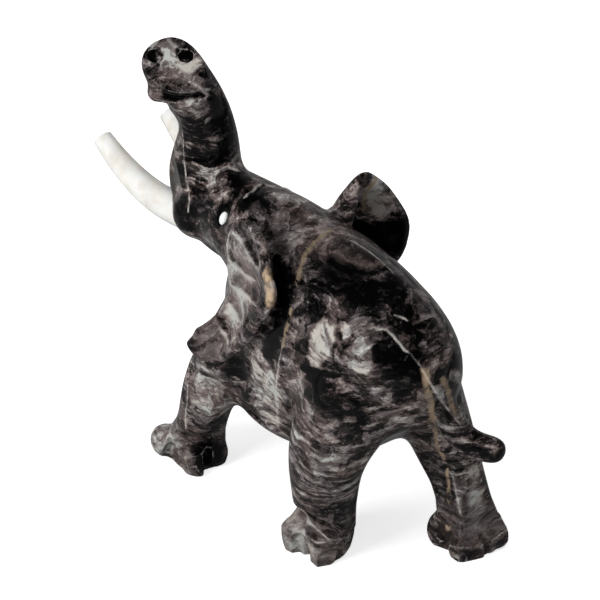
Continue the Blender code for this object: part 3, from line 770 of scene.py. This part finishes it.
def region_group():
    """An oval region with a soft edge."""
    sheet, given, out = new_group(
        "region",
        [("Vector", "Vector", (0, 0, 0)), ("Centre", "Vector", (0, 0, 0)),
         ("Half size", "Vector", (1, 1, 1)), ("Strength", "Float", 1.0), ("Softness", "Float", 0.5)],
        [("Value", "Float")],
    )
    away = sheet.vector("SUBTRACT", given["Vector"], given["Centre"])
    away = sheet.vector("DIVIDE", away, given["Half size"])
    length = sheet.vector("LENGTH", away)
    outer = sheet.maths("ADD", 1.0, given["Softness"])
    inner = sheet.maths("SUBTRACT", 1.0, given["Softness"])
    share = sheet.span(length, outer, inner)
    sheet.feed(out["Value"], sheet.maths("MULTIPLY", share, given["Strength"]))
    return sheet.tree


def polish_group():
    """Roughness and height of a hand-polished stone face."""
    sheet, given, out = new_group(
        "polish",
        [("Vector", "Vector", (0, 0, 0)), ("Roughness", "Float", 0.2), ("Wander", "Float", 0.08)],
        [("Roughness", "Float"), ("Height", "Float")],
    )
    smear = sheet.noise(given["Vector"], scale=1.6, detail=3.0)["Fac"]
    smear = sheet.maths("SUBTRACT", smear, 0.5)
    rough = sheet.maths("MULTIPLY_ADD", smear, given["Wander"], given["Roughness"])
    wave = sheet.noise(given["Vector"], scale=2.6, detail=2.0)["Fac"]
    grit = sheet.noise(given["Vector"], scale=60.0, detail=2.0)["Fac"]
    sheet.feed(out["Roughness"], rough)
    sheet.feed(out["Height"], sheet.maths("MULTIPLY_ADD", grit, GRIT_SHARE, wave))
    return sheet.tree


def clouds_group():
    """The stone's layers of clouds as one value that wanders round nought, and its level bands."""
    weights = [(name, "Float", layer[0]) for name, layer in CLOUDS.items()]
    sheet, given, out = new_group(
        "clouds",
        [("Vector", "Vector", (0, 0, 0)), *weights, ("Cracks", "Float", CRACK_WEIGHT)],
        [("Value", "Float"), ("Bands", "Float")],
    )
    beds = {"plain": given["Vector"]}
    for name, (turn, stretch) in BEDS.items():
        feeds = {"Vector": given["Vector"], "Rotation": turn, "Scale": stretch}
        beds[name] = sheet.add("Mapping", feeds)["Vector"]
    total = 0.0
    for name, (_, bed, scale, detail, roughness, distortion, cut, middle) in CLOUDS.items():
        value = sheet.noise(beds[bed], scale, detail, roughness, distortion)["Fac"]
        if cut:
            value = sheet.span(value, *cut)
        value = sheet.maths("SUBTRACT", value, middle)
        total = sheet.maths("MULTIPLY_ADD", value, given[name], total)
        if name == "Bands":
            sheet.feed(out["Bands"], value)
    rift = sheet.noise(beds["bedded"], scale=1.25, detail=6.0, roughness=0.55, distortion=0.8)["Fac"]
    rift = sheet.maths("ABSOLUTE", sheet.maths("SUBTRACT", rift, 0.5))
    cracks = sheet.span(rift, low=CRACK_HALF_WIDTH, high=0.0)
    cracks = sheet.maths("SUBTRACT", cracks, CRACK_MIDDLE)
    total = sheet.maths("MULTIPLY_ADD", cracks, given["Cracks"], total)
    sheet.feed(out["Value"], total)
    return sheet.tree


SHARED = {}


def shared_groups():
    """The node groups that the materials share, made once."""
    if not SHARED:
        SHARED.update(drift=drift_group(), region=region_group(), clouds=clouds_group(),
                      polish=polish_group())
    return SHARED


def new_material(name):
    """A material, the sheet for its nodes and its shader."""
    material = bpy.data.materials.new(name)
    material.use_nodes = True
    return material, Sheet(material.node_tree), material.node_tree.nodes["Principled BSDF"]


def centimetres(sheet):
    """Object coordinates in centimetres."""
    where = sheet.add("TexCoord")["Object"]
    return sheet.vector("SCALE", where, Scale=CM_PER_METRE)


def polished(sheet, shader, where, colour, roughness, wander, bump=0.0):
    """Gives the shader its colour, its hand-polished roughness and, if any, its slight waviness."""
    polish = sheet.group(shared_groups()["polish"], Vector=where, Roughness=roughness, Wander=wander)
    sheet.feed(shader.inputs["Base Color"], colour)
    sheet.feed(shader.inputs["Roughness"], polish["Roughness"])
    if bump:
        feeds = {"Height": polish["Height"], "Distance": WAVE_HEIGHT, "Strength": bump}
        sheet.feed(shader.inputs["Normal"], sheet.add("Bump", feeds)["Normal"])


def paleness(sheet, where, bent, edge):
    """How pale the stone is: its clouds, calm and banded parts, strokes, regions and ridges; the strokes
    and regions hold painted shade and painted highlights in places, and the ridges a painted highlight
    along with their wear.
    """
    groups = shared_groups()
    clouds = sheet.group(groups["clouds"], Vector=bent)
    kept = sheet.maths("SUBTRACT", 1.0, sheet.stored("calm"))
    value = sheet.maths("MULTIPLY_ADD", clouds["Value"], kept, MEAN_VALUE)
    value = sheet.maths("MULTIPLY_ADD", clouds["Bands"], sheet.stored("banded"), value)
    value = sheet.maths("ADD", value, sheet.stored("shade"))
    ragged = sheet.group(groups["drift"], Vector=where, Fold=0.5, Ripple=0.7)["Vector"]
    for spot, (forward, left, up), strength, softness in TONES_AND_PAINTED_LIGHT:
        half_size = [size / MM_PER_CM for size in (left, forward, up)]
        tone_and_painted_light = sheet.group(
            groups["region"], Vector=ragged, Centre=place(*spot) * CM_PER_METRE,
            Half_size=half_size, Strength=strength, Softness=softness,
        )["Value"]
        value = sheet.maths("ADD", value, tone_and_painted_light)
    # Painted highlight near the ridges and worn lines, together with their wear
    return sheet.maths("ADD", value, sheet.span(edge, low=3.5, high=0.3, to_high=RIDGE_WEAR_AND_HIGHLIGHT))


def veined(sheet, settings, where, colour):
    """Lays the tan veins over the stone, ragged and paler in spots."""
    gap = sheet.stored("vein_gap")
    gap = sheet.maths("MULTIPLY_ADD", sheet.noise(where, scale=3.0)["Fac"], VEIN_RAGGED, gap)
    veins = sheet.span(gap, low=2.6, high=1.5)
    spotty = sheet.noise(where, scale=4.0)["Fac"]
    fair = sheet.span(spotty, low=0.3, high=0.6, to_low=0.5)
    fair = sheet.maths("MULTIPLY", sheet.stored("vein_pale"), fair)
    tan = sheet.mix(fair, (*settings.tan, 1), (*settings.cream, 1))
    patchy = sheet.span(spotty, low=0.36, high=0.55, to_low=0.50, to_high=0.90)
    return sheet.mix(sheet.maths("MULTIPLY", veins, patchy), colour, tan)


def worn_and_highlit_edges(sheet, settings, where, edge, colour):
    """Lays a painted highlight, together with paler worn stone, along the ridges and sharp edges."""
    sharp = sheet.span(sheet.stored("sharpness"), low=0.075, high=0.18, to_high=0.6)
    worn_and_highlit = sheet.maths("MAXIMUM", sheet.span(edge, low=1.1, high=0.1), sharp)
    spotty = sheet.noise(where, scale=3.0, detail=3.0)["Fac"]
    patchy = sheet.span(spotty, low=0.36, high=0.62, to_low=0.15)
    return sheet.mix(sheet.maths("MULTIPLY", worn_and_highlit, patchy), colour, (*settings.edge, 1))


def marble(settings):
    """Dark mottled marble with tan veins, pale worn edges that carry a painted highlight, and painted
    shade and highlights in places.
    """
    material, sheet, shader = new_material("mottled_marble")
    where = centimetres(sheet)
    bent = sheet.group(shared_groups()["drift"], Vector=where, Fold=1.6, Ripple=0.3)["Vector"]
    edge = sheet.stored("edge_gap")
    colour = sheet.ramp(paleness(sheet, where, bent, edge), MARBLE_COLOURS)
    warm = sheet.span(sheet.noise(bent, scale=0.9, detail=3.0)["Fac"], low=0.42, high=0.58)
    tint = sheet.mix(warm, (*settings.cool, 1), (*settings.warm, 1))
    colour = sheet.mix(1.0, colour, tint, "MULTIPLY")
    colour = veined(sheet, settings, where, colour)
    colour = worn_and_highlit_edges(sheet, settings, where, edge, colour)
    polished(sheet, shader, where, colour, settings.roughness, wander=0.08, bump=0.4)
    shader.inputs["Specular IOR Level"].default_value = MARBLE_SPECULAR
    return material


def onyx(settings):
    """Pale banded stone that lets some light through."""
    material, sheet, shader = new_material("white_onyx")
    where = centimetres(sheet)
    bent = sheet.group(shared_groups()["drift"], Vector=where, Fold=0.6, Ripple=0.3)["Vector"]
    bands = sheet.noise(bent, scale=1.4, detail=5.0)["Fac"]
    colour = sheet.ramp(bands, [(0.3, settings.dark), (0.5, settings.middle), (0.7, settings.pale)])
    polished(sheet, shader, where, colour, settings.roughness, wander=0.08, bump=0.3)
    shader.inputs["Subsurface Weight"].default_value = ONYX_GLOW
    shader.inputs["Subsurface Radius"].default_value = ONYX_GLOW_REACH
    shader.inputs["Subsurface Scale"].default_value = 1.0
    return material


def inlay(settings):
    """White inlay stone with faint spots."""
    material, sheet, shader = new_material("white_inlay")
    where = centimetres(sheet)
    spots = sheet.noise(where, scale=12.0)["Fac"]
    colour = sheet.ramp(spots, [(0.3, settings.dark), (0.7, settings.pale)])
    polished(sheet, shader, where, colour, settings.roughness, wander=0.05)
    return material


def colour_property(name, description, default):
    return bpy.props.FloatVectorProperty(
        name=name, description=description, default=default, subtype="COLOR", min=0, max=1)


def roughness_property(default):
    return bpy.props.FloatProperty(
        name="Roughness", description="Roughness of the polished face", default=default,
        subtype="FACTOR", min=0, max=1)


class StoneSettings(bpy.types.PropertyGroup):
    grain: bpy.props.FloatProperty(
        name="Grain", description="Edge of the small squares that the stone's surface is made of",
        default=0.5 * MM, unit="LENGTH")
    roughness: roughness_property(0.13)
    tan: colour_property("Tan", "Darker colour of the tan veins", (0.14, 0.11, 0.075))
    cream: colour_property("Cream", "Paler colour of the tan veins", (0.52, 0.385, 0.26))
    # The edge colour is a painted highlight along sharp edges as well as paler worn stone
    edge: colour_property("Edge", "Colour of the thin stone along sharp edges", (0.46, 0.43, 0.40))
    cool: colour_property("Cool", "Tint of the cooler clouds", (0.97, 0.99, 1.0))
    warm: colour_property("Warm", "Tint of the warmer clouds", (1.0, 0.94, 0.91))


class TuskSettings(bpy.types.PropertyGroup):
    rounding: bpy.props.FloatProperty(
        name="Rounding", description="Width of the rounded edge at the tusk's ends",
        default=0.5 * MM, unit="LENGTH")
    roughness: roughness_property(0.26)
    dark: colour_property("Dark", "Darkest bands of the tusks", (0.68, 0.66, 0.61))
    middle: colour_property("Middle", "Middle bands of the tusks", (0.78, 0.77, 0.74))
    pale: colour_property("Pale", "Palest bands of the tusks", (0.84, 0.84, 0.82))


class EyeSettings(bpy.types.PropertyGroup):
    roughness: roughness_property(0.15)
    dark: colour_property("Dark", "Darker spots of the eyes", (0.74, 0.77, 0.74))
    pale: colour_property("Pale", "Paler ground of the eyes", (0.90, 0.91, 0.89))


class StageSettings(bpy.types.PropertyGroup):
    floor: colour_property("Floor", "Colour of the floor", (0.7, 0.7, 0.7))
    mirrored: colour_property(
        "Mirrored", "Colour of the floor where the polished stone mirrors it", (0.35, 0.35, 0.35))


class ELEPHANT_OT_carve_stone(bpy.types.Operator):
    """Refines the carved stone and gives it its marble"""
    bl_idname = "elephant.carve_stone"
    bl_label = "Carve Stone"

    def execute(self, context):
        settings = context.scene.elephant_stone
        obj = copy_of("elephant", "carved_stone")
        finish_with(obj, "REMESH", mode="VOXEL", voxel_size=settings.grain)
        soften(obj)
        pare(obj)
        flute(obj)
        score(obj, [(CREST_WIDTH, -CREST_HEIGHT, towards, line) for _, _, _, towards, line in FLUTES])
        score(obj, LINES)
        sink(obj)
        finish_with(obj, "DECIMATE", ratio=min(1.0, MOST_TRIANGLES / triangle_count(obj)))
        put_back(obj, corners(obj)[0])
        mark_worn_and_highlit(obj)
        mark_veins(obj)
        mark_shades(obj)
        mark_regions(obj, "calm", CALM)
        mark_regions(obj, "banded", BANDED)
        only(obj)
        bpy.ops.object.shade_smooth_by_angle(angle=STONE_CREASE)
        dress(obj, "elephant", marble(settings))
        return {"FINISHED"}


class ELEPHANT_OT_set_tusks(bpy.types.Operator):
    """Rounds the two tusks and gives them their onyx"""
    bl_idname = "elephant.set_tusks"
    bl_label = "Set Tusks"

    def execute(self, context):
        settings = context.scene.elephant_tusks
        made_of = onyx(settings)
        for side in ("left", "right"):
            obj = copy_of(f"{side}_tusk", f"{side}_tusk_rod")
            finish_with(obj, "BEVEL", width=settings.rounding, segments=2, limit_method="ANGLE")
            only(obj)
            bpy.ops.object.shade_smooth_by_angle(angle=TUSK_CREASE)
            dress(obj, f"{side}_tusk", made_of)
        return {"FINISHED"}


class ELEPHANT_OT_set_eyes(bpy.types.Operator):
    """Domes the two eye inlays and gives them their white stone"""
    bl_idname = "elephant.set_eyes"
    bl_label = "Set Eyes"

    def execute(self, context):
        made_of = inlay(context.scene.elephant_eyes)
        for side in ("left", "right"):
            obj = copy_of(f"{side}_eye", f"{side}_eye_inlay")
            finish_with(obj, "SUBSURF", levels=2, render_levels=2)
            only(obj)
            bpy.ops.object.shade_smooth()
            dress(obj, f"{side}_eye", made_of)
        return {"FINISHED"}


def lay_floor(settings):
    """A wide pale floor just below the feet, darker where the stone mirrors it."""
    bpy.ops.object.select_all(action="DESELECT")
    bpy.ops.mesh.primitive_plane_add(size=FLOOR_SIZE, location=(0, 0, -FLOOR_DEPTH))
    floor = bpy.context.active_object
    floor.name = "floor"
    material, sheet, shader = new_material("pale_floor")
    shader.inputs["Roughness"].default_value = FLOOR_ROUGHNESS
    shader.inputs["Specular IOR Level"].default_value = 0.0
    shader.inputs["Emission Color"].default_value = (1, 1, 1, 1)
    path = sheet.add("LightPath")
    glow = sheet.maths("MULTIPLY", path["Is Camera Ray"], FLOOR_GLOW)
    colour = sheet.mix(path["Is Glossy Ray"], (*settings.floor, 1), (*settings.mirrored, 1))
    sheet.feed(shader.inputs["Base Color"], colour)
    sheet.feed(shader.inputs["Emission Strength"], glow)
    floor.data.materials.append(material)


def light_sky(scene):
    """Dim surroundings that are paler near the floor, for the polish to mirror."""
    world = bpy.data.worlds.new("studio")
    scene.world = world
    world.use_nodes = True
    sheet = Sheet(world.node_tree)
    background = world.node_tree.nodes["Background"]
    height = sheet.add("SeparateXYZ", {0: sheet.add("TexCoord")["Generated"]})["Z"]
    sky = sheet.ramp(height, [(level, (grey, grey, grey)) for level, grey in SKY])
    sheet.feed(background.inputs["Color"], sky)
    background.inputs["Strength"].default_value = SKY_STRENGTH


def view_axes():
    """The photo's right, its upward and the way back to its camera."""
    back = Vector((math.sin(CAMERA_TURN) * math.cos(CAMERA_RISE),
                   math.cos(CAMERA_TURN) * math.cos(CAMERA_RISE), math.sin(CAMERA_RISE)))
    right = Vector((0, 0, 1)).cross(back).normalized()
    return right, back.cross(right), back


def set_camera(scene, aim):
    """The photo's view of the place it aims at."""
    right, up, back = view_axes()
    camera = bpy.data.cameras.new("camera")
    camera.sensor_width = CAMERA_SENSOR
    camera.lens = CAMERA_LENS
    camera.clip_start = CAMERA_CLIP
    obj = bpy.data.objects.new("camera", camera)
    scene.collection.objects.link(obj)
    turn = Matrix((right, up, back)).transposed().to_4x4()
    turn.translation = aim + back * CAMERA_AWAY
    obj.matrix_world = turn
    scene.camera = obj


def softbox(scene, name, where, towards, size, watts):
    """A square soft light that the polished stone doesn't mirror."""
    light = bpy.data.lights.new(name, "AREA")
    light.shape = "RECTANGLE"
    light.size = light.size_y = size
    light.energy = watts
    obj = bpy.data.objects.new(name, light)
    scene.collection.objects.link(obj)
    obj.location = where
    obj.rotation_euler = (Vector(towards) - where).to_track_quat("-Z", "Y").to_euler()
    obj.visible_glossy = False


class ELEPHANT_OT_set_stage(bpy.types.Operator):
    """Adds the floor, the soft studio light and the camera"""
    bl_idname = "elephant.set_stage"
    bl_label = "Set Stage"

    def execute(self, context):
        scene = context.scene
        lay_floor(scene.elephant_stage)
        light_sky(scene)
        right, up, back = view_axes()
        aim = MIDDLE + right * CAMERA_AIM[0] + up * CAMERA_AIM[1]
        set_camera(scene, aim)
        softbox(scene, "top", Vector((0, 0, TOP_HEIGHT)), (0, 0, 0), TOP_SIZE, TOP_WATTS)
        beside, above, behind = KEY_PLACE
        where = aim + right * beside + up * above + back * behind
        softbox(scene, "key", where, KEY_AIM, KEY_SIZE, KEY_WATTS)
        scene.view_settings.view_transform = "Standard"
        return {"FINISHED"}


# The operators in their order, and the settings of each
STEPS = (
    ("elephant.carve_stone", "elephant_stone", StoneSettings),
    ("elephant.set_tusks", "elephant_tusks", TuskSettings),
    ("elephant.set_eyes", "elephant_eyes", EyeSettings),
    ("elephant.set_stage", "elephant_stage", StageSettings),
)


class ELEPHANT_PT_panel(bpy.types.Panel):
    """Lists the elephant's pieces and their sizes and colours"""
    bl_idname = "ELEPHANT_PT_panel"
    bl_label = "Marble Elephant"
    bl_space_type = "VIEW_3D"
    bl_region_type = "UI"
    bl_category = "Marble Elephant"

    def draw(self, context):
        for operator, owner, kind in STEPS:
            box = self.layout.box()
            box.operator(operator)
            for name in kind.__annotations__:
                box.prop(getattr(context.scene, owner), name)


CLASSES = (
    StoneSettings,
    TuskSettings,
    EyeSettings,
    StageSettings,
    ELEPHANT_OT_carve_stone,
    ELEPHANT_OT_set_tusks,
    ELEPHANT_OT_set_eyes,
    ELEPHANT_OT_set_stage,
    ELEPHANT_PT_panel,
)


def register():
    for item in CLASSES:
        bpy.utils.register_class(item)
    for _, owner, kind in STEPS:
        setattr(bpy.types.Scene, owner, bpy.props.PointerProperty(type=kind))


def unregister():
    for _, owner, _ in STEPS:
        delattr(bpy.types.Scene, owner)
    for item in reversed(CLASSES):
        bpy.utils.unregister_class(item)


def main():
    register()
    bpy.ops.elephant.carve_stone()
    bpy.ops.elephant.set_tusks()
    bpy.ops.elephant.set_eyes()
    bpy.ops.elephant.set_stage()


if __name__ == "__main__":
    main()
